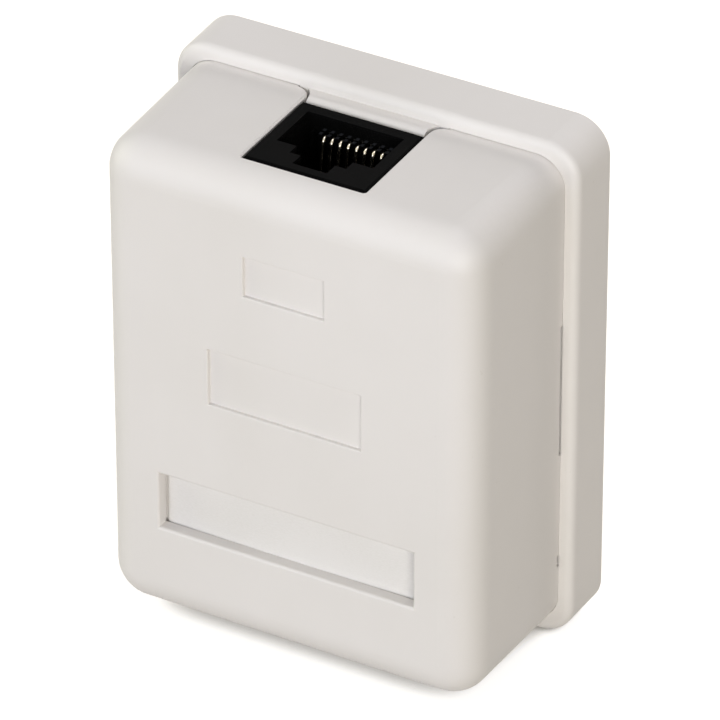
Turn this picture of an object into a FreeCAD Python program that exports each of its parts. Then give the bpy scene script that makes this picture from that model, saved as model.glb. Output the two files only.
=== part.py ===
import FreeCAD, Part
import math
import os

from FreeCAD import Vector

# Surface-mount ethernet connection box. All lengths are in millimetres and all angles in degrees.
# X runs across the box, Y from the front to the wall, and Z up towards the port.
# The origin is the middle of the back face. A depth is a distance from the wall plane towards the front.

# Base tray
base_width = 50.0
base_height = 63.5
base_depth = 7.0
base_corner = 4.2
base_draft = 0.9
rim_wall = 1.65
rim_round = 1.0
rim_land = 0.3
rim_inner_round = 0.05
floor_thick = 2.0

# Cover
total_depth = 27.0
cover_wall = 1.7
front_wall = 1.5
cover_draft = 0.3
cover_corner_rear = 3.6
cover_corner_front = 4.6
front_round = 4.3
cover_gap = 0.03
skirt_seat_gap = 0.2
smallest_corner = 0.5
root_sink = 0.2
edge_land = 0.1

# Port notch in the cover and the tongue of the base that closes it
notch_side_gap = 0.15
notch_front_gap = 0.35
notch_corner = 0.35
notch_flare = 1.7
notch_edge = 0.2
tongue_side_gap = 0.35
tongue_heel_gap = 0.12
tongue_thick = 2.0
tongue_jack_gap = 0.1
tongue_round = 1.2

# Shallow panels and label window in the front
panel_depth = 0.5
panel_edge = 0.16
small_panel_width = 9.9
small_panel_height = 5.0
small_panel_z = 17.85
wide_panel_width = 18.9
wide_panel_height = 7.1
wide_panel_z = 3.7
window_width = 31.8
window_height = 7.15
window_z = -14.55
window_edge = 0.35

# Label strip and the rails that hold its ends
strip_height = 8.6
strip_thick = 0.4
strip_bow = 0.2
strip_front_gap = 0.04
strip_end_gap = 0.28
rail_wall = 1.2
rail_cover = 1.2
rail_gap = 0.1
rail_end_gap = 0.6

# Seam slots in the rear edge of the cover sides
seam_slot = 0.35
pry_length = 16.8
pry_z = 0.9
seam_nick_length = 1.5
seam_nick_z = -21.5

# Circuit board
board_width = 36.0
board_height = 35.5
board_thick = 1.6
board_corner = 1.0
board_standoff = 5.8
board_edge_gap = 0.34

# Socket body
socket_width = 11.8
socket_height = 6.8
socket_depth = 13.35
socket_step = 1.6
key_width = 6.9
key_height = 1.5
latch_width = 4.2
latch_height = 1.8
jack_side_wall = 1.55
jack_front_wall = 1.2
jack_length = 18.35
jack_recess = 0.15
jack_lip = 1.9
jack_edge = 0.2
peg_radius = 0.8
peg_rise = 7.6
peg_tail = 0.7
peg_gap = 0.08

# Contact carrier and spring wires
carrier_width = 10.8
carrier_gap = 0.1
contact_count = 8
contact_pitch = 1.02
wire_radius = 0.18
wire_gap = 0.04
wire_bend = 0.6
wire_arm = 8.2
wire_tilt = 11.0
wire_tail = 1.3
pin_row_first = 1.8
pin_row_step = 2.54
pin_hole_gap = 0.2
comb_count = 11
comb_thick = 0.38
comb_height = 0.75
comb_length = 6.5

# Insulation displacement blocks and their forked contacts
idc_per_block = 4
idc_pitch = 3.9
idc_end_wall = 1.0
idc_width = 8.0
idc_height = 11.0
idc_inner_x = 7.0
idc_jack_gap = 1.35
idc_slot = 1.5
idc_slot_depth = 7.0
idc_roof = 1.6
fork_width = 3.0
fork_thick = 0.5
fork_drop = 1.0
fork_slit = 0.35
fork_slit_depth = 5.0
fork_gap = 0.06
fork_pin = 0.6

# Screws, posts and stops for the board
screw_radius = 1.1
screw_length = 6.0
screw_head_radius = 2.2
screw_head_height = 1.5
screw_gap = 0.03
screw_spacing = 25.0
screw_drop = 6.5
screw_head_round = 0.9
cross_length = 2.6
cross_width = 0.6
cross_depth = 0.8
post_radius = 2.8
pin_post_radius = 1.5
pin_post_inset = 1.6
pin_post_rise = 2.6
board_pin_radius = 0.8
board_pin_tip = 0.7
board_pin_gap = 0.1
stop_spacing = 22.0
stop_width = 3.0
stop_thick = 1.4
stop_gap = 0.1
stop_drop = 0.3

# Wall fixing and cable entry in the tray floor
wall_hole_radius = 2.1
wall_hole_spacing = 28.0
wall_boss_radius = 4.6
wall_boss_height = 0.8
head_seat_radius = 3.9
head_seat_floor = 1.4
entry_width = 14.0
entry_corner = 1.5
entry_rim_gap = 4.49
entry_board_gap = 5.65
tie_width = 5.2
tie_length = 4.2
tie_height = 3.4
tie_tunnel = 1.6
tie_leg = 0.9

# Skirt guides and snap arms of the tray
guide_gap = 0.2
guide_thick = 1.3
guide_length = 9.0
guide_spacing = 36.0
guide_drop = 0.8
snap_width = 10.0
snap_reach = 12.0
snap_nose = 0.35
snap_gap = 0.15
snap_nose_height = 2.0
snap_nose_drop = 0.4
catch_depth = 0.6
catch_gap = 0.25

# Ribs of the cover that stand before the socket body
rib_spacing = 6.0
rib_thick = 1.2
rib_length = 12.0
rib_drop = 3.0
rib_gap = 0.3

# Places that follow from the sizes above
base_lean = math.tan(math.radians(base_draft)) * base_depth
cover_slope = math.tan(math.radians(cover_draft))
pocket_width = base_width - 2 * base_lean - 2 * rim_wall
pocket_height = base_height - 2 * base_lean - 2 * rim_wall
cover_width = pocket_width - 2 * cover_gap
cover_height = pocket_height - 2 * cover_gap
skirt_back = floor_thick + skirt_seat_gap
front_inner = total_depth - front_wall
board_back = floor_thick + board_standoff
board_front = board_back + board_thick
board_top = pocket_height / 2 - tongue_thick - board_edge_gap
board_bottom = board_top - board_height
entry_top = board_bottom - entry_board_gap
entry_low = entry_rim_gap - pocket_height / 2
entry_height = entry_top - entry_low
entry_z = (entry_top + entry_low) / 2
jack_width = socket_width + 2 * jack_side_wall
socket_back = board_front + socket_step
socket_front = socket_back + socket_height
key_front = socket_front + key_height
latch_front = key_front + latch_height
jack_front = latch_front + jack_front_wall
jack_face = cover_height / 2 - jack_recess
jack_bottom = jack_face - jack_length
socket_end = jack_face - socket_depth
notch_width = jack_width + 2 * notch_side_gap
notch_front = jack_front + notch_front_gap
tongue_front = board_front - tongue_jack_gap
flare_x = notch_width / 2 + notch_flare
carrier_back = board_front + carrier_gap
carrier_front = socket_back - carrier_gap
carrier_top = jack_face - jack_lip - carrier_gap
wire_run = carrier_front - wire_radius - wire_gap
turn_height = carrier_top - wire_bend - 2 * wire_radius
peg_x = (carrier_width / 2 + carrier_gap + jack_width / 2) / 2
idc_length = idc_per_block * idc_pitch + idc_end_wall
idc_top = jack_bottom - idc_jack_gap
idc_front = board_front + idc_height
idc_x = idc_inner_x + idc_width / 2
screw_z = board_top - screw_drop
pin_post_x = board_width / 2 - pin_post_inset
pin_post_z = board_bottom + pin_post_rise
skirt_inner_x = cover_width / 2 - cover_wall
snap_front_x = skirt_inner_x - cover_slope * (snap_reach - base_depth) - snap_gap
strip_middle = front_inner - strip_front_gap
strip_end_x = window_width / 2 - strip_end_gap


def block(x0, x1, d0, d1, z0, z1):
    return Part.makeBox(x1 - x0, d1 - d0, z1 - z0, Vector(x0, -d1, z0))


def rod(x, z, radius, d0, d1):
    return Part.makeCylinder(radius, d1 - d0, Vector(x, -d0, z), Vector(0, -1, 0))


def rounded_outline(width, height, corner, depth):
    half_x = width / 2
    half_z = height / 2
    cut = corner * (1 - math.sqrt(0.5))
    runs = []
    for sx, sz in [(1, 1), (-1, 1), (-1, -1), (1, -1)]:
        side = Vector(sx * half_x, -depth, sz * (half_z - corner))
        top = Vector(sx * (half_x - corner), -depth, sz * half_z)
        middle = Vector(sx * (half_x - cut), -depth, sz * (half_z - cut))
        runs.append([side, middle, top] if sx * sz > 0 else [top, middle, side])
    edges = []
    for index, (first, middle, last) in enumerate(runs):
        edges.append(Part.Arc(first, middle, last).toShape())
        edges.append(Part.LineSegment(last, runs[(index + 1) % 4][0]).toShape())
    return Part.Wire(edges)


def rounded_block(width, height, corner, d0, d1):
    return Part.Face(rounded_outline(width, height, corner, d0)).extrude(Vector(0, d0 - d1, 0))


def edges_at_depth(shape, depth):
    return [e for e in shape.Edges if all(abs(v.Y + depth) < 1e-4 for v in e.Vertexes)]


def polygon_along_z(points, z0, z1):
    corners = [Vector(x, -d, z0) for x, d in points]
    return Part.Face(Part.makePolygon(corners + corners[:1])).extrude(Vector(0, 0, z1 - z0))


def polygon_along_x(points, x0, x1):
    corners = [Vector(x0, -d, z) for d, z in points]
    return Part.Face(Part.makePolygon(corners + corners[:1])).extrude(Vector(x1 - x0, 0, 0))


def hood(inset, back, front, edge):
    # Drafted hood over a straight skirt, set in from the outer skin of the cover by the inset.
    rear_corner = max(cover_corner_rear - inset, smallest_corner)
    front_corner = max(cover_corner_front - inset, smallest_corner)
    lean = cover_slope * (front - base_depth) + inset
    skirt = rounded_block(cover_width - 2 * inset, cover_height - 2 * inset, rear_corner, back, base_depth)
    seam = rounded_outline(cover_width - 2 * inset, cover_height - 2 * inset, rear_corner, base_depth)
    face = rounded_outline(cover_width - 2 * lean, cover_height - 2 * lean, front_corner, front)
    shell = Part.makeLoft([seam, face], True, True)
    shell = shell.makeFillet(min(edge, front_corner - edge_land), edges_at_depth(shell, front))
    return shell.fuse(skirt).removeSplitter()


def notch_outline(grow, z):
    # Outline of the port slot, open to the rear, whose sides flare out to the seam in a quarter round.
    half = notch_width / 2 + grow
    flare = notch_flare - grow
    corner = notch_corner + grow
    front = notch_front + grow
    heel = base_depth + notch_flare
    share = math.sqrt(0.5)

    def at(side, x, depth):
        return Vector(side * x, -depth, z)

    edges = []
    ends = []
    for side in (-1, 1):
        rear = at(side, flare_x, skirt_back - 1)
        seam = at(side, flare_x, heel - flare)
        bend = at(side, flare_x - flare * share, heel - flare * share)
        straight = at(side, half, heel)
        turn = at(side, half, front - corner)
        round_off = at(side, half - corner * (1 - share), front - corner * (1 - share))
        front_end = at(side, half - corner, front)
        run = [Part.LineSegment(rear, seam), Part.Arc(seam, bend, straight),
               Part.LineSegment(straight, turn), Part.Arc(turn, round_off, front_end)]
        run = [curve.toShape() for curve in run]
        edges += run if side < 0 else run[::-1]
        if side < 0:
            edges.append(Part.LineSegment(front_end, at(1, half - corner, front)).toShape())
        ends.append(rear)
    edges.append(Part.LineSegment(ends[1], ends[0]).toShape())
    return Part.Wire(edges)


def notch_cutter():
    top = cover_height / 2
    low = top - 2 * cover_wall
    slot = Part.Face(notch_outline(0, low)).extrude(Vector(0, 0, top + 1 - low))
    bevel = Part.makeLoft([notch_outline(0, top - notch_edge), notch_outline(notch_edge, top)], True, True)
    rise = Part.Face(notch_outline(notch_edge, top)).extrude(Vector(0, 0, notch_edge))
    for piece in (bevel, rise):
        piece.rotate(Vector(0, -base_depth, top), Vector(1, 0, 0), cover_draft)
        slot = slot.fuse(piece)
    return slot


def label_rails():
    # Two corner ledges behind the front wall, one at each end of the strip.
    end_back = strip_middle - strip_bow - strip_thick
    half = strip_height / 2
    wall_in = strip_end_x + rail_end_gap
    wall_out = wall_in + rail_wall
    ledge = end_back - rail_gap
    profile = [(wall_in, front_inner + front_wall / 2), (wall_out, front_inner + front_wall / 2),
               (wall_out, ledge - rail_wall), (strip_end_x - rail_cover, ledge - rail_wall),
               (strip_end_x - rail_cover, ledge), (wall_in, ledge)]
    return [polygon_along_z([(side * x, d) for x, d in profile], window_z - half, window_z + half)
            for side in (-1, 1)]


def pocket_edges(body, width, height, z):
    return [e for e in edges_at_depth(body, total_depth)
            if all(abs(v.X) < width / 2 + 1e-3 and abs(v.Z - z) < height / 2 + 1e-3 for v in e.Vertexes)]


def make_cover():
    body = hood(0, skirt_back, total_depth, front_round)
    hollow = hood(cover_wall, skirt_back - 1, front_inner, max(front_round - cover_wall, smallest_corner))
    body = body.cut(hollow).cut(notch_cutter())
    for width, height, z in [(small_panel_width, small_panel_height, small_panel_z),
                             (wide_panel_width, wide_panel_height, wide_panel_z)]:
        body = body.cut(block(-width / 2, width / 2, total_depth - panel_depth, total_depth + 1,
                              z - height / 2, z + height / 2))
        body = body.makeFillet(panel_edge, pocket_edges(body, width, height, z))
    body = body.cut(block(-window_width / 2, window_width / 2, front_inner - 1, total_depth + 1,
                          window_z - window_height / 2, window_z + window_height / 2))
    body = body.makeFillet(window_edge, pocket_edges(body, window_width, window_height, window_z))
    for side in (-1, 1):
        inner = side * (skirt_inner_x - 1)
        outer = side * (cover_width / 2 + 1)
        for z, length in [(pry_z, pry_length), (seam_nick_z, seam_nick_length)]:
            body = body.cut(block(min(inner, outer), max(inner, outer), base_depth - seam_slot,
                                  base_depth + seam_slot, z - length / 2, z + length / 2))
        wall = side * (snap_front_x - 1)
        pocket = side * (snap_front_x + snap_gap + catch_depth)
        nose_top = snap_reach - snap_nose_drop
        body = body.cut(block(min(wall, pocket), max(wall, pocket), nose_top - snap_nose_height - catch_gap,
                              nose_top + catch_gap, pry_z - snap_width / 2 - catch_gap,
                              pry_z + snap_width / 2 + catch_gap))
        rib_x = side * rib_spacing / 2
        rib_top = jack_face - rib_drop
        body = body.fuse(block(rib_x - rib_thick / 2, rib_x + rib_thick / 2, jack_front + rib_gap,
                               front_inner + root_sink, rib_top - rib_length, rib_top))
    for rail in label_rails():
        body = body.fuse(rail)
    return body.removeSplitter()


def make_label_strip():
    low = window_z - strip_height / 2

    def bowed(depth, first, last):
        return Part.Arc(Vector(first, strip_bow - depth, low), Vector(0, -depth, low),
                        Vector(last, strip_bow - depth, low)).toShape()

    front = bowed(strip_middle, -strip_end_x, strip_end_x)
    back = bowed(strip_middle - strip_thick, strip_end_x, -strip_end_x)
    right = Part.LineSegment(front.Vertexes[1].Point, back.Vertexes[0].Point).toShape()
    left = Part.LineSegment(back.Vertexes[1].Point, front.Vertexes[0].Point).toShape()
    return Part.Face(Part.Wire([front, right, back, left])).extrude(Vector(0, 0, strip_height))


def make_tongue():
    # Its sides follow the flare of the notch at the side gap, and its heel closes the slot behind the seam.
    half = flare_x - tongue_heel_gap
    top = pocket_height / 2
    heel = base_depth + notch_flare
    reach = notch_flare + tongue_side_gap
    tongue = block(-half, half, floor_thick, tongue_front, top - tongue_thick, top)
    lip = [e for e in edges_at_depth(tongue, tongue_front) if all(v.Z > top - 1e-4 for v in e.Vertexes)]
    tongue = tongue.makeFillet(tongue_round, lip)
    for side in (-1, 1):
        tongue = tongue.cut(Part.makeCylinder(reach, 2 * tongue_thick,
                                              Vector(side * flare_x, -heel, top - 1.5 * tongue_thick)))
        inner = side * (flare_x - reach)
        outer = side * (flare_x + reach)
        tongue = tongue.cut(block(min(inner, outer), max(inner, outer), heel, heel + reach,
                                  top - 1.5 * tongue_thick, top + tongue_thick))
    heel_block = block(-half, half, floor_thick, base_depth, top - tongue_thick, top + rim_inner_round)
    return tongue.fuse(heel_block)


def make_snap_arm(side):
    face = snap_front_x - snap_nose
    nose_top = snap_reach - snap_nose_drop
    nose_low = nose_top - snap_nose_height
    profile = [(face - guide_thick, floor_thick), (face, floor_thick), (face, nose_low),
               (snap_front_x, nose_low + snap_nose), (snap_front_x, nose_top - snap_nose),
               (face, snap_reach), (face - guide_thick, snap_reach)]
    low = pry_z - snap_width / 2
    return polygon_along_z([(side * x, d) for x, d in profile], low, low + snap_width)


def make_tie_bridge():
    middle = (entry_z + entry_height / 2 + board_bottom) / 2
    bridge = block(-tie_width / 2, tie_width / 2, floor_thick, floor_thick + tie_height,
                   middle - tie_length / 2, middle + tie_length / 2)
    tunnel = block(-tie_width, tie_width, floor_thick, floor_thick + tie_tunnel,
                   middle - tie_length / 2 + tie_leg, middle + tie_length / 2 - tie_leg)
    return bridge.cut(tunnel)


def make_base():
    back = rounded_outline(base_width, base_height, base_corner, 0)
    front = rounded_outline(base_width - 2 * base_lean, base_height - 2 * base_lean,
                            base_corner - base_lean, base_depth)
    tray = Part.makeLoft([back, front], True, True)
    tray = tray.makeFillet(min(rim_round, rim_wall - rim_land), edges_at_depth(tray, base_depth))
    pocket_corner = cover_corner_rear + cover_gap
    tray = tray.cut(rounded_block(pocket_width, pocket_height, pocket_corner, floor_thick, base_depth + 1))
    inner = [e for e in edges_at_depth(tray, base_depth)
             if all(abs(v.X) < pocket_width / 2 + 1e-3 and abs(v.Z) < pocket_height / 2 + 1e-3
                    for v in e.Vertexes)]
    tray = tray.makeFillet(rim_inner_round, inner)
    solids = [make_tongue(), make_tie_bridge()]
    for side in (-1, 1):
        solids.append(rod(side * screw_spacing / 2, screw_z, post_radius, floor_thick, board_back))
        solids.append(rod(side * pin_post_x, pin_post_z, pin_post_radius, floor_thick, board_back))
        solids.append(rod(side * pin_post_x, pin_post_z, board_pin_radius, floor_thick,
                          board_front + board_pin_tip))
        stop_x = side * stop_spacing / 2
        solids.append(block(stop_x - stop_width / 2, stop_x + stop_width / 2, floor_thick,
                            board_front - stop_drop, board_bottom - stop_gap - stop_thick,
                            board_bottom - stop_gap))
        solids.append(rod(side * wall_hole_spacing / 2, entry_z, wall_boss_radius, floor_thick,
                          floor_thick + wall_boss_height))
        solids.append(make_snap_arm(side))
        guide_outer = side * (skirt_inner_x - guide_gap)
        guide_inner = side * (skirt_inner_x - guide_gap - guide_thick)
        for level in (-1, 1):
            middle = level * guide_spacing / 2
            solids.append(block(min(guide_inner, guide_outer), max(guide_inner, guide_outer), floor_thick,
                                base_depth - guide_drop, middle - guide_length / 2,
                                middle + guide_length / 2))
    for solid in solids:
        tray = tray.fuse(solid)
    for side in (-1, 1):
        tray = tray.cut(rod(side * screw_spacing / 2, screw_z, screw_radius + screw_gap,
                            board_front - screw_length - screw_gap, board_back + 1))
        tray = tray.cut(rod(side * wall_hole_spacing / 2, entry_z, wall_hole_radius, -1, base_depth))
        tray = tray.cut(rod(side * wall_hole_spacing / 2, entry_z, head_seat_radius, head_seat_floor,
                            base_depth))
    entry = rounded_block(entry_width, entry_height, entry_corner, -1, floor_thick + 1)
    entry.translate(Vector(0, 0, entry_z))
    tray = tray.cut(entry)
    return tray.removeSplitter()


def contact_x(index):
    return (index - (contact_count - 1) / 2) * contact_pitch


def contact_row(index):
    return jack_bottom + pin_row_first + (index % 2) * pin_row_step


def spring_wire(index, radius):
    # Board pin, run up the carrier, turn below the lip and free arm that leans into the socket.
    x = contact_x(index)
    row = contact_row(index)
    tilt = math.radians(wire_tilt)

    def at(depth, z):
        return Vector(x, -depth, z)

    tail = at(board_back - wire_tail, row)
    foot = at(wire_run - wire_bend, row)
    knee = at(wire_run - wire_bend * (1 - math.sqrt(0.5)), row + wire_bend * (1 - math.sqrt(0.5)))
    shin = at(wire_run, row + wire_bend)
    neck = at(wire_run, turn_height)
    crown = at(wire_run + wire_bend * (1 - math.sin(tilt / 2)), turn_height + wire_bend * math.cos(tilt / 2))
    brow = at(wire_run + wire_bend * (1 + math.cos(tilt)), turn_height + wire_bend * math.sin(tilt))
    tip = brow + Vector(0, -wire_arm * math.sin(tilt), -wire_arm * math.cos(tilt))
    path = Part.Wire([Part.LineSegment(tail, foot).toShape(), Part.Arc(foot, knee, shin).toShape(),
                      Part.LineSegment(shin, neck).toShape(), Part.Arc(neck, crown, brow).toShape(),
                      Part.LineSegment(brow, tip).toShape()])
    section = Part.Wire([Part.makeCircle(radius, tail, Vector(0, -1, 0))])
    return path.makePipeShell([section], True, False)


def make_carrier():
    half = carrier_width / 2
    low = jack_bottom + carrier_gap
    body = block(-half, half, carrier_back, carrier_front, low, carrier_top)
    body = body.fuse(block(-half, half, carrier_back, socket_front - carrier_gap, low, socket_end))
    for index in range(comb_count):
        x = (index - (comb_count - 1) / 2) * contact_pitch
        body = body.fuse(block(x - comb_thick / 2, x + comb_thick / 2, carrier_front,
                               carrier_front + comb_height, carrier_top - comb_length, carrier_top))
    for index in range(contact_count):
        x = contact_x(index)
        reach = wire_radius + wire_gap
        body = body.cut(block(x - reach, x + reach, wire_run - reach, socket_front,
                              socket_end, carrier_top + 1))
        body = body.cut(spring_wire(index, reach))
    return body.removeSplitter()


def make_jack():
    half = jack_width / 2
    body = block(-half, half, board_front, jack_front, jack_bottom, jack_face)
    mouth = [e for e in body.Edges if all(v.Z > jack_face - 1e-4 for v in e.Vertexes)]
    body = body.makeChamfer(jack_edge, mouth)
    cuts = [(socket_width, socket_back, socket_front, socket_end),
            (key_width, socket_front - root_sink, key_front, socket_end),
            (latch_width, key_front - root_sink, latch_front, socket_end)]
    for width, back, front, low in cuts:
        body = body.cut(block(-width / 2, width / 2, back, front, low, jack_face + 1))
    room = carrier_width / 2 + carrier_gap
    body = body.cut(block(-room, room, board_front - 1, socket_back, jack_bottom - 1, jack_face - jack_lip))
    body = body.cut(block(-room, room, board_front - 1, socket_front, jack_bottom - 1, socket_end))
    for side in (-1, 1):
        body = body.fuse(rod(side * peg_x, jack_bottom + peg_rise, peg_radius, board_back - peg_tail,
                             board_front + root_sink))
    return body.removeSplitter()


def fork_places(side):
    middle = idc_top - idc_length / 2
    places = [(idc_per_block - 1) / 2 - index for index in range(idc_per_block)]
    return [(side * idc_x, middle + place * idc_pitch) for place in places]


def make_idc_block(side):
    x0 = side * idc_x - idc_width / 2
    x1 = side * idc_x + idc_width / 2
    body = block(x0, x1, board_front, idc_front, idc_top - idc_length, idc_top)
    for edge, inward in [(x0, 1), (x1, -1)]:
        wedge = [(edge - inward * idc_roof, idc_front + idc_roof),
                 (edge + inward * 2 * idc_roof, idc_front + idc_roof),
                 (edge - inward * idc_roof, idc_front - 2 * idc_roof)]
        body = body.cut(polygon_along_z(wedge, idc_top - idc_length - 1, idc_top + 1))
    for x, z in fork_places(side):
        body = body.cut(block(x0 - 1, x1 + 1, idc_front - idc_slot_depth, idc_front + 1,
                              z - idc_slot / 2, z + idc_slot / 2))
        mouth = [(idc_front + idc_slot / 4, z - idc_slot), (idc_front + idc_slot / 4, z + idc_slot),
                 (idc_front - idc_slot / 2, z + idc_slot / 2), (idc_front - idc_slot / 2, z - idc_slot / 2)]
        body = body.cut(polygon_along_x(mouth, x0 - 1, x1 + 1))
        body = body.cut(block(x - fork_thick / 2 - fork_gap, x + fork_thick / 2 + fork_gap, board_front - 1,
                              idc_front - fork_drop + fork_gap, z - fork_width / 2 - fork_gap,
                              z + fork_width / 2 + fork_gap))
    return body.removeSplitter()


def make_fork(x, z):
    tip = idc_front - fork_drop
    half = fork_width / 2
    slit = fork_slit / 2
    pin = fork_pin / 2
    tail = board_back - wire_tail
    foot = board_front + carrier_gap
    throat = tip - fork_slit_depth
    profile = [(tail, z - pin), (foot, z - pin), (foot, z - half), (tip, z - half), (tip, z - 3 * slit),
               (tip - 2 * slit, z - slit), (throat, z - slit), (throat, z + slit), (tip - 2 * slit, z + slit),
               (tip, z + 3 * slit), (tip, z + half), (foot, z + half), (foot, z + pin), (tail, z + pin)]
    return polygon_along_x(profile, x - fork_thick / 2, x + fork_thick / 2)


def make_board():
    middle = (board_top + board_bottom) / 2
    board = rounded_block(board_width, board_height, board_corner, board_back, board_front)
    board.translate(Vector(0, 0, middle))
    holes = [(contact_x(i), contact_row(i), wire_radius + pin_hole_gap) for i in range(contact_count)]
    for side in (-1, 1):
        holes += [(x, z, math.hypot(fork_pin, fork_thick) / 2 + fork_gap) for x, z in fork_places(side)]
        holes.append((side * peg_x, jack_bottom + peg_rise, peg_radius + peg_gap))
        holes.append((side * screw_spacing / 2, screw_z, screw_radius + pin_hole_gap))
        holes.append((side * pin_post_x, pin_post_z, board_pin_radius + board_pin_gap))
    for x, z, radius in holes:
        board = board.cut(rod(x, z, radius, board_back - 1, board_front + 1))
    return board


def make_screw(side):
    x = side * screw_spacing / 2
    top = board_front + screw_head_height
    head = rod(x, screw_z, screw_head_radius, board_front, top)
    head = head.makeFillet(screw_head_round, edges_at_depth(head, top))
    screw = head.fuse(rod(x, screw_z, screw_radius, board_front - screw_length, board_front))
    for wide, tall in [(cross_length, cross_width), (cross_width, cross_length)]:
        screw = screw.cut(block(x - wide / 2, x + wide / 2, top - cross_depth, top + 1,
                                screw_z - tall / 2, screw_z + tall / 2))
    return screw.removeSplitter()


nodes = {
    "base_tray": make_base(),
    "cover": make_cover(),
    "label_strip": make_label_strip(),
    "circuit_board": make_board(),
    "jack_housing": make_jack(),
    "contact_carrier": make_carrier(),
    "idc_block_left": make_idc_block(-1),
    "idc_block_right": make_idc_block(1),
    "board_screws": Part.makeCompound([make_screw(-1), make_screw(1)]),
}
for index in range(contact_count):
    nodes[f"jack_contact_{index + 1}"] = spring_wire(index, wire_radius)
for index, (x, z) in enumerate(fork_places(-1) + fork_places(1)):
    nodes[f"idc_contact_{index + 1}"] = make_fork(x, z)

os.makedirs("parts", exist_ok=True)
for name, shape in nodes.items():
    shape.exportStep(f"parts/{name}.step")
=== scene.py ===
import math

import bmesh
import bpy
from mathutils import Matrix, Vector


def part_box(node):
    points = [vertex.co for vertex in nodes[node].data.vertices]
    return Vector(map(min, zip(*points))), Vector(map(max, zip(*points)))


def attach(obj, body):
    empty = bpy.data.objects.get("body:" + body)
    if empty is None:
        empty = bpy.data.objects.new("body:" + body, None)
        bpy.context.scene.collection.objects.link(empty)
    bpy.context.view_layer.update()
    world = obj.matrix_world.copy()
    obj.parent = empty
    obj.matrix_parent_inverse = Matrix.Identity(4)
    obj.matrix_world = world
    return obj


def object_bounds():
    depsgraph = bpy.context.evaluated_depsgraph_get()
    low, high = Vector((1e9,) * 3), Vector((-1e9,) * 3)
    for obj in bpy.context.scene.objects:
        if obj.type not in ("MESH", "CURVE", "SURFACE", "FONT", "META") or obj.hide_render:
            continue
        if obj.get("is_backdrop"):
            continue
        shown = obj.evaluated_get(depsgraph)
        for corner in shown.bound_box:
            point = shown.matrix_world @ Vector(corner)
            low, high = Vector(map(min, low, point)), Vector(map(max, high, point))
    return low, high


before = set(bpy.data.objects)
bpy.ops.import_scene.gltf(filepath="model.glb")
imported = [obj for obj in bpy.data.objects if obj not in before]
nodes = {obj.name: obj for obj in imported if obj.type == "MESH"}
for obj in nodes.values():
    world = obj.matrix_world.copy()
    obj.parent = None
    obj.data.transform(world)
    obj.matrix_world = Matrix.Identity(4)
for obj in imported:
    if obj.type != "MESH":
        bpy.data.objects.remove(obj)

mm = 0.001
scene = bpy.context.scene
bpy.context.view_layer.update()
print("frame loaded with", len(nodes), "nodes")


class Wire:  # a shader socket that takes plain sums
    def __init__(self, tree, socket=None):
        self.tree = tree
        self.socket = socket

    def node(self, kind, settings=None, inputs=None, out=0):
        made = self.tree.nodes.new(kind)
        for name, value in (settings or {}).items():
            setattr(made, name, value)
        for name, value in (inputs or {}).items():
            self.feed(made.inputs[name], value)
        return Wire(self.tree, made.outputs[out])

    def feed(self, target, value):
        if isinstance(value, Wire):
            self.tree.links.new(value.socket, target)
        else:
            target.default_value = value

    def sum(self, operation, first, second):
        return self.node("ShaderNodeMath", {"operation": operation}, {0: first, 1: second})

    def __add__(self, other):
        return self.sum("ADD", self, other)

    def __radd__(self, other):
        return self.sum("ADD", other, self)

    def __sub__(self, other):
        return self.sum("SUBTRACT", self, other)

    def __rsub__(self, other):
        return self.sum("SUBTRACT", other, self)

    def __mul__(self, other):
        return self.sum("MULTIPLY", self, other)

    def __rmul__(self, other):
        return self.sum("MULTIPLY", other, self)

    def tint(self, low, high):  # this value picks between two colours
        return self.node("ShaderNodeMix", {"data_type": "RGBA"}, {0: self, 6: low, 7: high}, out=2)

    def noise(self, scale, detail=2, stretch=(1, 1, 1)):
        place = self.node("ShaderNodeMapping", None, {"Vector": self, "Scale": stretch})
        return self.node("ShaderNodeTexNoise", None, {"Vector": place, "Scale": scale, "Detail": detail})

    def steps(self, low, high):  # spreads low..high over 0..1 and cuts off the rest
        return self.node("ShaderNodeMapRange", None, {"Value": self, "From Min": low, "From Max": high})

    def bump(self, distance, strength=1.0):
        return self.node("ShaderNodeBump", None,
                         {"Height": self, "Distance": distance, "Strength": strength})


def srgb(red, green, blue):  # screen colour to the shader's own scale
    def one(value):
        value /= 255
        return value / 12.92 if value <= 0.04045 else ((value + 0.055) / 1.055) ** 2.4
    return (one(red), one(green), one(blue), 1)


def newFinish(name, constants):
    material = bpy.data.materials.new(name)
    material.use_nodes = True
    tree = material.node_tree
    shader = tree.nodes["Principled BSDF"]
    for socket, value in constants.items():
        shader.inputs[socket].default_value = value
    place = Wire(tree).node("ShaderNodeTexCoord", out="Object")
    return material, shader.inputs, place


def dress(finish, names):
    for name in names:
        nodes[name].material_slots[0].material = finish


shellSet = {
    "tone": srgb(224, 220, 218),
    "shade": srgb(220, 216, 213),
    "speck": srgb(196, 190, 182),
    "roughness": 0.5,
    "cloudScale": 45,
    "flowScale": 120,
    "speckScale": 1700,
    "scuffScale": 260,
    "grainScale": 5200,
    "grainDepth": 0.004 * mm,
}


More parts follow.
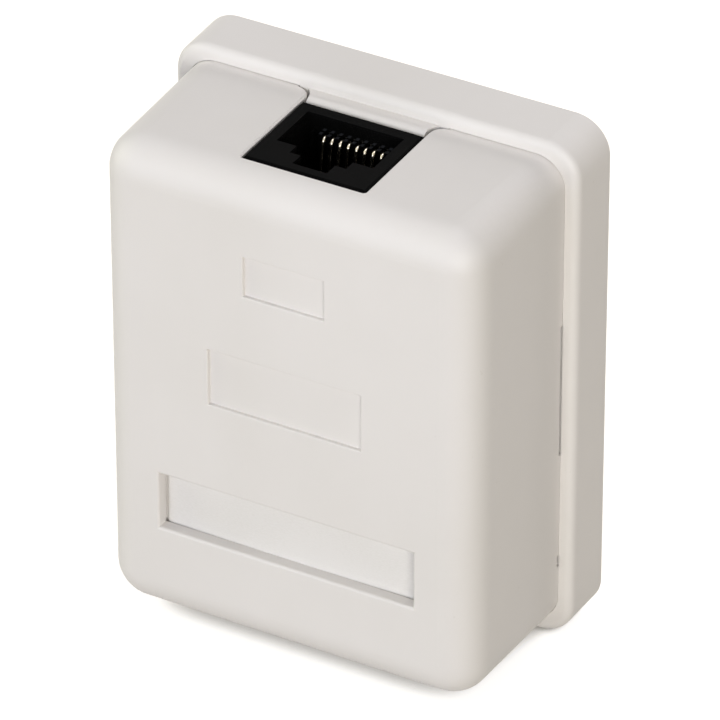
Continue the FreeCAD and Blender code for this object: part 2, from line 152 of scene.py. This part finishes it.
def shellFinish(s):  # moulded satin plastic of the tray and the cover
    material, shader, place = newFinish("whiteShellFinish", {"IOR": 1.5})
    cloud = place.noise(s["cloudScale"], 3)
    flow = place.noise(s["flowScale"], 2, (1, 1, 0.15))  # faint lines along the height
    speck = place.noise(s["speckScale"], 1).steps(0.79, 0.81)
    grain = place.noise(s["grainScale"], 2)
    colour = (cloud * 0.7 + flow * 0.3).steps(0.35, 0.65).tint(s["shade"], s["tone"])
    place.feed(shader["Base Color"], (speck * 0.2).tint(colour, s["speck"]))
    scuff = place.noise(s["scuffScale"], 3, (1, 1, 9)).steps(0.60, 0.72)
    place.feed(shader["Roughness"], s["roughness"] + (cloud - 0.5) * 0.10 + scuff * 0.05)
    place.feed(shader["Normal"], grain.bump(s["grainDepth"], 0.5))
    return material


labelSet = {
    "tone": srgb(224, 221, 219),
    "shade": srgb(219, 216, 213),
    "roughness": 0.5,
    "fibreScale": 2600,
    "fibreDepth": 0.006 * mm,
    "cloudScale": 90,
}


def labelFinish(s):  # calendered card
    material, shader, place = newFinish("labelCardFinish", {"IOR": 1.45})
    fibre = place.noise(s["fibreScale"], 3, (1, 1, 3))
    cloud = place.noise(s["cloudScale"], 2)
    blend = (fibre * 0.5 + cloud * 0.5).steps(0.4, 0.6)
    place.feed(shader["Base Color"], blend.tint(s["shade"], s["tone"]))
    place.feed(shader["Roughness"], s["roughness"] + (fibre - 0.5) * 0.12)
    place.feed(shader["Normal"], fibre.bump(s["fibreDepth"], 0.4))
    return material


socketSet = {
    "tone": srgb(9, 9, 9),
    "worn": srgb(17, 16, 16),
    "dust": srgb(48, 46, 44),
    "roughness": 0.42,
    "gloss": 0.01,
    "coatRoughness": 0.06,
    "polish": 0.6 * mm,
}


def socketFinish(s):  # matt black outside, polished down in the plug's opening
    constants = {"Specular IOR Level": s["gloss"], "Coat Roughness": s["coatRoughness"]}
    material, shader, place = newFinish("socketBlackFinish", constants)
    cloud = place.noise(220, 3)
    dust = place.noise(2400, 2).steps(0.70, 0.78)
    grain = place.noise(6000, 2)
    colour = (cloud.steps(0.4, 0.7) * 0.5).tint(s["tone"], s["worn"])
    place.feed(shader["Base Color"], (dust * 0.15).tint(colour, s["dust"]))
    place.feed(shader["Roughness"], s["roughness"] + cloud.steps(0.45, 0.7) * 0.14)
    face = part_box("jack_housing")[1].z
    height = place.node("ShaderNodeSeparateXYZ", None, {0: place}, out="Z")
    place.feed(shader["Coat Weight"], height.steps(face - s["polish"] / 4, face - s["polish"]))
    place.feed(shader["Normal"], grain.bump(0.003 * mm, 0.3))
    return material


blockSet = {
    "tone": srgb(236, 233, 226),
    "shade": srgb(226, 221, 210),
    "roughness": 0.44,
}


def blockFinish(s):  # milky plastic of the wiring blocks
    material, shader, place = newFinish("wiringBlockFinish", {"IOR": 1.5})
    cloud = place.noise(160, 3)
    grain = place.noise(4200, 2)
    place.feed(shader["Base Color"], cloud.steps(0.35, 0.65).tint(s["shade"], s["tone"]))
    place.feed(shader["Roughness"], s["roughness"] + (cloud - 0.5) * 0.2)
    place.feed(shader["Normal"], grain.bump(0.006 * mm, 0.5))
    return material


boardSet = {
    "tone": srgb(22, 84, 48),
    "shade": srgb(15, 66, 38),
    "roughness": 0.24,
    "weavePitch": 0.42 * mm,
    "weaveDepth": 0.004 * mm,
}


def boardFinish(s):  # green lacquer over glass weave
    material, shader, place = newFinish("boardGreenFinish", {"IOR": 1.52})
    bands = {"wave_type": "BANDS", "wave_profile": "SIN"}
    scale = math.pi / (10 * s["weavePitch"])
    across = place.node("ShaderNodeTexWave", {**bands, "bands_direction": "X"},
                        {"Vector": place, "Scale": scale, "Distortion": 0.4}, out=1)
    along = place.node("ShaderNodeTexWave", {**bands, "bands_direction": "Z"},
                       {"Vector": place, "Scale": scale, "Distortion": 0.4}, out=1)
    weave = across * 0.5 + along * 0.5
    cloud = place.noise(130, 3)
    place.feed(shader["Base Color"], (weave * 0.6 + cloud * 0.4).tint(s["shade"], s["tone"]))
    place.feed(shader["Roughness"], s["roughness"] + cloud.steps(0.4, 0.7) * 0.12)
    place.feed(shader["Normal"], weave.bump(s["weaveDepth"], 0.5))
    return material


metalSet = {
    "springGold": {"tone": srgb(218, 209, 192), "shade": srgb(198, 188, 168),
                   "roughness": 0.18, "brush": (1, 1, 0.04)},
    "forkTin": {"tone": srgb(206, 206, 202), "shade": srgb(178, 177, 172),
                "roughness": 0.30, "brush": (1, 0.05, 1)},
    "screwZinc": {"tone": srgb(196, 198, 202), "shade": srgb(160, 162, 168),
                  "roughness": 0.28, "brush": (1, 0.3, 1)},
    "solderTin": {"tone": srgb(212, 212, 210), "shade": srgb(188, 188, 186),
                  "roughness": 0.22, "brush": (1, 1, 1)},
}


def metalFinish(name):  # plated metal, brushed along its stretch
    s = metalSet[name]
    material, shader, place = newFinish(f"{name}Finish", {"Metallic": 1.0})
    streak = place.noise(3000, 2, s["brush"])
    cloud = place.noise(420, 3)
    blend = (streak * 0.5 + cloud * 0.5).steps(0.35, 0.65)
    place.feed(shader["Base Color"], blend.tint(s["shade"], s["tone"]))
    place.feed(shader["Roughness"], s["roughness"] + (streak - 0.5) * 0.16 + cloud.steps(0.5, 0.75) * 0.10)
    place.feed(shader["Normal"], streak.bump(0.003 * mm, 0.5))
    return material


def printFinish(name, tone, shade):  # ink, lacquer or mask laid on the board
    material, shader, place = newFinish(name, {"IOR": 1.48})
    cloud = place.noise(900, 3)
    place.feed(shader["Base Color"], cloud.steps(0.35, 0.65).tint(shade, tone))
    place.feed(shader["Roughness"], 0.30 + cloud.steps(0.4, 0.7) * 0.2)
    place.feed(shader["Normal"], cloud.bump(0.004 * mm, 0.5))
    return material


shell = shellFinish(shellSet)
label = labelFinish(labelSet)
socketBlack = socketFinish(socketSet)
wiringBlock = blockFinish(blockSet)
boardGreen = boardFinish(boardSet)
springGold = metalFinish("springGold")
forkTin = metalFinish("forkTin")
screwZinc = metalFinish("screwZinc")
solderTin = metalFinish("solderTin")

dress(shell, ["base_tray", "cover"])
dress(label, ["label_strip"])
dress(socketBlack, ["jack_housing", "contact_carrier"])
dress(wiringBlock, ["idc_block_left", "idc_block_right"])
dress(boardGreen, ["circuit_board"])
dress(springGold, [name for name in nodes if name.startswith("jack_contact")])
dress(forkTin, [name for name in nodes if name.startswith("idc_contact")])
dress(screwZinc, ["board_screws"])
print("finishes laid on the nodes")


def addPiece(name, bm, body, finish, smooth=False):
    bmesh.ops.recalc_face_normals(bm, faces=bm.faces[:])
    mesh = bpy.data.meshes.new(name)
    for face in bm.faces:
        face.smooth = smooth
    bm.to_mesh(mesh)
    bm.free()
    mesh.materials.append(finish)
    piece = bpy.data.objects.new(name, mesh)
    scene.collection.objects.link(piece)
    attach(piece, body)
    return piece


def middle(name):
    low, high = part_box(name)
    return (low + high) / 2


def raiseFaces(bm, height):  # flat faces become thin plates, towards the front
    made = bmesh.ops.extrude_face_region(bm, geom=bm.faces[:])
    verts = [g for g in made["geom"] if isinstance(g, bmesh.types.BMVert)]
    bmesh.ops.translate(bm, verts=verts, vec=(0, -height, 0))


boardLow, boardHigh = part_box("circuit_board")
boardFace = boardLow.y
springs = [f"jack_contact_{i}" for i in range(1, 9)]
forks = [f"idc_contact_{i}" for i in range(1, 9)]

trackSet = {
    "width": 0.45 * mm,
    "height": 0.035 * mm,
    "turn": 0.9 * mm,
    "spring": 0.18 * mm,
    "tone": srgb(44, 122, 70),
    "shade": srgb(34, 104, 58),
}


def layTracks(s):  # copper under the lacquer, from each spring wire to its fork
    bm = bmesh.new()
    half = s["width"] / 2
    for spring, fork in zip(springs, forks[:4] + forks[:3:-1]):
        x = middle(spring).x
        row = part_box(spring)[0].z + s["spring"]
        end = middle(fork)
        side = math.copysign(1, end.x)
        route = [(x, row), (x, end.z + s["turn"]), (x + side * s["turn"], end.z), (end.x, end.z)]
        lean = math.tan(math.pi / 8) * half  # mitre of a half right angle
        edge = bm.edges.new([bm.verts.new((x + offset, boardFace, row)) for offset in (-half, half)])
        ends = [((x - half, route[1][1] - side * lean), (x + half, route[1][1] + side * lean)),
                ((route[2][0] - lean, end.z - side * half), (route[2][0] + lean, end.z + side * half)),
                ((end.x, end.z - side * half), (end.x, end.z + side * half))]
        for pair in ends:
            made = bmesh.ops.extrude_edge_only(bm, edges=[edge])["geom"]
            edge = [g for g in made if isinstance(g, bmesh.types.BMEdge)][0]
            for vert, (px, pz) in zip(edge.verts, pair):
                vert.co = (px, boardFace, pz)
    raiseFaces(bm, s["height"])
    return addPiece("boardTracks", bm, "base",
                    printFinish("trackLacquerFinish", s["tone"], s["shade"]))


layTracks(trackSet)
print("tracks laid on the board")

inkSet = {
    "line": 0.18 * mm,
    "height": 0.02 * mm,
    "spread": 0.5 * mm,
    "tone": srgb(226, 226, 218),
    "shade": srgb(204, 204, 196),
}


def inkFrames(s):  # white outlines round the socket and the two blocks
    bm = bmesh.new()
    for name in ("jack_housing", "idc_block_left", "idc_block_right"):
        low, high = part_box(name)
        top = min(high.z + s["spread"], boardHigh.z - s["spread"])
        bottom = max(low.z - s["spread"], boardLow.z + s["spread"] / 2)
        size = (high.x - low.x + 2 * s["spread"], 1, top - bottom)
        place = Matrix.Translation(((low.x + high.x) / 2, boardFace, (top + bottom) / 2))
        turn = Matrix.Rotation(math.radians(90), 4, "X")
        made = bmesh.ops.create_grid(bm, x_segments=1, y_segments=1, size=0.5,
                                     matrix=place @ Matrix.Diagonal((*size, 1)) @ turn)
        faces = list({face for vert in made["verts"] for face in vert.link_faces})
        bmesh.ops.inset_region(bm, faces=faces, thickness=s["line"], use_boundary=True, use_even_offset=True)
        bmesh.ops.delete(bm, geom=faces, context="FACES_ONLY")
    raiseFaces(bm, s["height"])
    return addPiece("boardOutlines", bm, "base",
                    printFinish("whiteInkFinish", s["tone"], s["shade"]))


inkFrames(inkSet)

codeSet = {
    "size": 1.5 * mm,
    "narrow": 0.5,
    "corner": 0.25 * mm,
    "off": 5.1 * mm,
    "height": 0.02 * mm,
    "darker": 0.8,
    "pairs": {"orange": srgb(206, 108, 34), "green": srgb(62, 138, 62),
              "blue": srgb(40, 84, 160), "brown": srgb(112, 70, 42)},
}


def inkCodes(s):  # colour mark beside each fork, narrow for the striped wire of a pair
    for index, (hue, tone) in enumerate(s["pairs"].items()):
        bm = bmesh.new()
        for step in (0, 1):
            centre = middle(forks[2 * index + step])
            side = math.copysign(1, centre.x)
            wide = s["size"] * (s["narrow"] if step else 1)
            turn = Matrix.Rotation(math.radians(90), 4, "X")
            place = Matrix.Translation((centre.x + side * s["off"], boardFace, centre.z))
            made = bmesh.ops.create_grid(bm, x_segments=1, y_segments=1, size=0.5,
                                         matrix=place @ Matrix.Diagonal((wide, 1, s["size"], 1)) @ turn)
            bmesh.ops.bevel(bm, geom=made["verts"], offset=s["corner"], affect="VERTICES",
                            segments=4, profile=0.5, material=-1)
        raiseFaces(bm, s["height"])
        shade = tuple(s["darker"] * c for c in tone[:3]) + (1,)
        addPiece(f"wireMark.{hue}", bm, "base",
                 printFinish(f"{hue}InkFinish", tone, shade))


inkCodes(codeSet)
print("ink printed on the board")

solderSet = {
    "wide": 0.78 * mm,
    "neck": 0.30 * mm,
    "height": 0.85 * mm,
    "soften": 0.12 * mm,
    "ring": 2.75 * mm,
    "ringHeight": 0.04 * mm,
}


def solderJoints(s):  # cones on the pins behind the board and a tinned ring under each screw head
    bm = bmesh.new()
    back = boardHigh.y
    turn = Matrix.Rotation(math.radians(-90), 4, "X")
    for name in springs + forks:
        x = middle(name).x
        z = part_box(name)[0].z + trackSet["spring"] if name in springs else middle(name).z
        place = Matrix.Translation((x, back + s["height"] / 2, z))
        cone = bmesh.ops.create_cone(bm, cap_ends=True, segments=20, radius1=s["wide"], radius2=s["neck"],
                                     depth=s["height"], matrix=place @ turn)
        edges = {e for v in cone["verts"] for e in v.link_edges}
        rims = [e for e in edges if abs(e.verts[0].co.y - e.verts[1].co.y) < 1e-7]
        bmesh.ops.bevel(bm, geom=rims, offset=s["soften"], affect="EDGES", segments=3, profile=0.5,
                        material=-1)
    low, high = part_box("board_screws")
    reach = (high.z - low.z) / 2
    for x in (low.x + reach, high.x - reach):
        place = Matrix.Translation((x, boardFace - s["ringHeight"] / 2, (low.z + high.z) / 2))
        bmesh.ops.create_cone(bm, cap_ends=True, segments=48, radius1=s["ring"], radius2=s["ring"],
                              depth=s["ringHeight"], matrix=place @ turn)
    return addPiece("solderJoints", bm, "base", solderTin)


solderJoints(solderSet)
print("solder set on the pins")

ejectorSet = {
    "radius": 1.5 * mm,
    "height": 0.08 * mm,
    "soften": 0.03 * mm,
    "places": [(13, 21), (-13, 21), (15.5, 0), (-15.5, 0), (9, -24), (-9, -24)],
    "wall": 1.5 * mm,
}


def ejectorMarks(s):  # pin marks on the inside of the cover's front wall
    bm = bmesh.new()
    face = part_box("cover")[0].y + s["wall"]
    turn = Matrix.Rotation(math.radians(-90), 4, "X")
    for x, z in s["places"]:
        place = Matrix.Translation((x * mm, face + s["height"] / 2, z * mm))
        disc = bmesh.ops.create_cone(bm, cap_ends=True, segments=40, radius1=s["radius"],
                                     radius2=s["radius"], depth=s["height"], matrix=place @ turn)
        rims = [e for e in {e for v in disc["verts"] for e in v.link_edges}
                if all(v.co.y > face + s["height"] / 2 for v in e.verts)]
        bmesh.ops.bevel(bm, geom=rims, offset=s["soften"], affect="EDGES", segments=2, profile=0.5,
                        material=-1)
    return addPiece("ejectorMarks", bm, "cover", shell)


ejectorMarks(ejectorSet)
print("mould marks set inside the cover")

studioSet = {
    "fill": (0, 0, 0, 1),
    "floorTone": (0.36, 0.32, 0.26, 1),
    "floorLift": 0.9,
    # painted contact shadow: occlusion reach, dark tone, ramp and samples that darken the floor's glow near
    # the box
    "nearShadow": 9 * mm,
    "paintedShadowTone": (0.2, 0.2, 0.2, 1),
    "paintedShadowRamp": (0.1, 0.28),
    "nearSamples": 32,
    "floorSize": 3.0,
    "distance": 1.2,
    "lamps": {
        "key": {"azimuth": 34, "elevation": 12, "size": 0.8, "power": 13.1, "tint": (1.0, 0.99, 0.94)},
        "front": {"azimuth": -20, "elevation": 15, "size": 0.8, "power": 4.5, "tint": (0.72, 0.80, 1.0)},
        "side": {"azimuth": -80, "elevation": 14, "size": 0.8, "power": 6.8, "tint": (1.0, 1.0, 0.80)},
        "top": {"azimuth": 180, "elevation": 84, "size": 0.8, "power": 5.9, "tint": (1.0, 0.98, 1.0)},
        "rear": {"azimuth": 180, "elevation": 16, "size": 0.8, "power": 9.2, "tint": (1.0, 0.98, 0.96)},
    },
}


def seenRays(tree):  # camera rays and what metal or glass mirrors
    kinds = ["Is Camera Ray", "Is Glossy Ray", "Is Transmission Ray"]
    seen = [Wire(tree).node("ShaderNodeLightPath", out=kind) for kind in kinds]
    return (seen[0] + seen[1] + seen[2]).steps(0, 1)


def towards(azimuth, elevation):  # from the middle of the box, azimuth 0 in front and 90 on the right
    azimuth, elevation = math.radians(azimuth), math.radians(elevation)
    return Vector((math.sin(azimuth) * math.cos(elevation), -math.cos(azimuth) * math.cos(elevation),
                   math.sin(elevation)))


def buildStudio(s):
    world = bpy.data.worlds.new("studio")
    world.use_nodes = True
    scene.world = world
    tree = world.node_tree
    backdrop = tree.nodes["Background"].inputs["Color"]
    Wire(tree).feed(backdrop, seenRays(tree).tint(s["fill"], (1, 1, 1, 1)))

    bm = bmesh.new()
    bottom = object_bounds()[0].z
    bmesh.ops.create_grid(bm, x_segments=1, y_segments=1, size=s["floorSize"],
                          matrix=Matrix.Translation((0, 0, bottom)))
    mesh = bpy.data.meshes.new("floor")
    bm.to_mesh(mesh)
    bm.free()
    paper = bpy.data.materials.new("floorPaper")
    paper.use_nodes = True
    tree = paper.node_tree
    tree.nodes.remove(tree.nodes["Principled BSDF"])
    start = Wire(tree)
    matte = start.node("ShaderNodeBsdfDiffuse", None, {"Color": s["floorTone"]})
    # painted contact shadow: ambient occlusion darkens the floor's camera-seen glow near the box
    near = start.node("ShaderNodeAmbientOcclusion", {"samples": s["nearSamples"]},
                      {"Distance": s["nearShadow"]}, out="AO")
    shade = near.steps(*s["paintedShadowRamp"]).tint(s["paintedShadowTone"], (1, 1, 1, 1))
    lift = start.node("ShaderNodeEmission", None,
                      {"Color": shade, "Strength": seenRays(tree) * s["floorLift"]})
    both = start.node("ShaderNodeAddShader", None, {0: matte, 1: lift})
    start.feed(tree.nodes["Material Output"].inputs["Surface"], both)
    mesh.materials.append(paper)
    floor = bpy.data.objects.new("floor", mesh)
    scene.collection.objects.link(floor)
    floor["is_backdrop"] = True

    for name, l in s["lamps"].items():
        away = towards(l["azimuth"], l["elevation"])
        data = bpy.data.lights.new(name, "AREA")
        data.size = l["size"]
        data.energy = l["power"]
        data.color = l["tint"]
        lamp = bpy.data.objects.new(name, data)
        lamp.location = away * s["distance"]
        lamp.rotation_euler = away.to_track_quat("Z", "Y").to_euler()
        scene.collection.objects.link(lamp)


buildStudio(studioSet)
print("studio lit")

cameraSet = {
    "place": (324.13 * mm, -589.68 * mm, 432.08 * mm),
    "azimuth": 29.218,
    "elevation": 33.094,
    "roll": -0.039,
    "lens": 362.05,
    "sensor": 36,
    "clip": (0.05, 20),
}


def setCamera(s):
    back = towards(s["azimuth"], s["elevation"])
    data = bpy.data.cameras.new("camera")
    data.lens = s["lens"]
    data.sensor_width = s["sensor"]
    data.clip_start, data.clip_end = s["clip"]
    camera = bpy.data.objects.new("camera", data)
    turn = back.to_track_quat("Z", "Y").to_matrix().to_4x4()
    roll = Matrix.Rotation(math.radians(s["roll"]), 4, "Z")
    camera.matrix_world = Matrix.Translation(s["place"]) @ turn @ roll
    scene.collection.objects.link(camera)
    scene.camera = camera


setCamera(cameraSet)
scene.view_settings.view_transform = "Standard"
